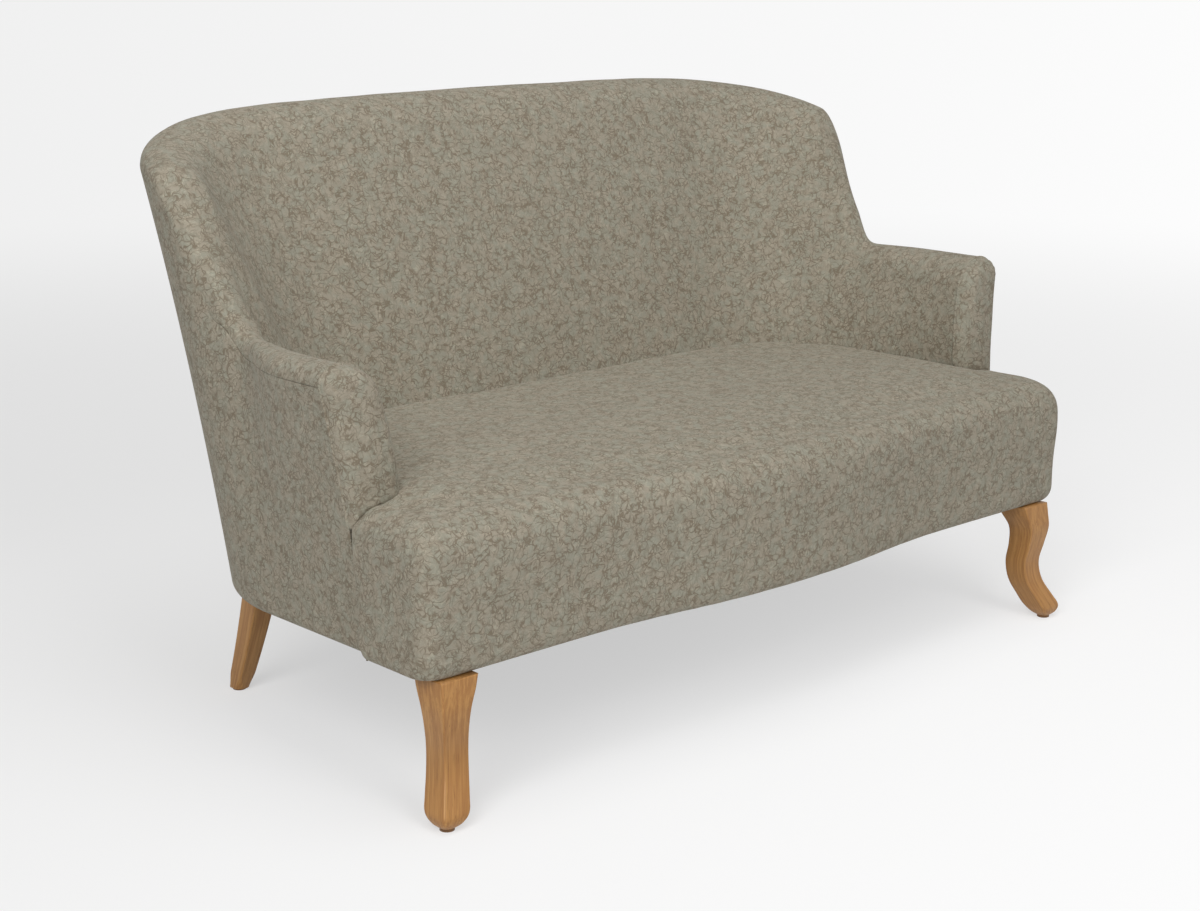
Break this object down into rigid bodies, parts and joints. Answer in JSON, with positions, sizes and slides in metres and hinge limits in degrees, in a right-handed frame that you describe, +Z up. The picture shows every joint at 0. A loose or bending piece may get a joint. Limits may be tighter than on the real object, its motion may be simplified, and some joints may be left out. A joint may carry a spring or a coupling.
{
  "type": "two-seat settee",
  "caption": "Upholstered settee with a tub back, low rounded arms, a fixed sprung seat with a serpentine front and curved wooden legs.",
  "frame": {"origin": "on the floor, at the middle of the overall length and depth", "axes": "+X to the right seen from the front and along the length, +Y to the back, +Z up"},
  "size_m": [1.3784, 0.7852, 0.868],
  "materials": {
    "upholstery_fabric": "matt woven",
    "foam": "matt open cell",
    "leg_wood": "satin lacquer",
    "frame_timber": "sawn",
    "board": "smooth hardboard",
    "steel": "zinc plated",
    "glide_plastic": "matt",
    "dust_cloth": "matt spun cloth",
    "felt": "matt felt",
    "webbing": "woven strap"
  },
  "bodies": {
    "root": {"arm_foam_left": "foam", "arm_foam_right": "foam", "arm_lining_left": "board", "arm_lining_right": "board", "arm_post_left": "frame_timber", "arm_post_right": "frame_timber", "arm_rail_left": "frame_timber", "arm_rail_right": "frame_timber", "arm_tack_rail_left": "frame_timber", "arm_tack_rail_right": "frame_timber", "back_centre_upright": "frame_timber", "back_foam": "foam", "back_post_left": "frame_timber", "back_post_right": "frame_timber", "back_tack_rail": "frame_timber", "back_top_rail": "frame_timber", "back_webbing": "webbing", "dust_cover": "dust_cloth", "facing_board_left": "board", "facing_board_right": "board", "facing_cover_left": "upholstery_fabric", "facing_cover_right": "upholstery_fabric", "facing_pad_left": "foam", "facing_pad_right": "foam", "facing_welt_left": "upholstery_fabric", "facing_welt_right": "upholstery_fabric", "floor_glides": "glide_plastic", "frame_dowels": "frame_timber", "inside_arm_cover_left": "upholstery_fabric", "inside_arm_cover_right": "upholstery_fabric", "inside_back_cover": "upholstery_fabric", "leg_blocks_front": "frame_timber", "leg_blocks_rear": "frame_timber", "leg_bolts": "steel", "leg_front_left": "leg_wood", "leg_front_right": "leg_wood", "leg_nuts": "steel", "leg_rear_left": "leg_wood", "leg_rear_right": "leg_wood", "outside_arm_board_left": "board", "outside_arm_board_right": "board", "outside_arm_cover_left": "upholstery_fabric", "outside_arm_cover_right": "upholstery_fabric", "outside_back_board": "board", "outside_back_cover": "upholstery_fabric", "seat_centre_brace": "frame_timber", "seat_cover": "upholstery_fabric", "seat_foam": "foam", "seat_rail_back": "frame_timber", "seat_rail_corner_left": "frame_timber", "seat_rail_corner_right": "frame_timber", "seat_rail_front": "frame_timber", "seat_rail_side_left": "frame_timber", "seat_rail_side_right": "frame_timber", "seat_springs": "steel", "spring_clips": "steel", "spring_felt": "felt", "wing_posts": "frame_timber", "wing_rails": "frame_timber"}
  },
  "joints": []
}
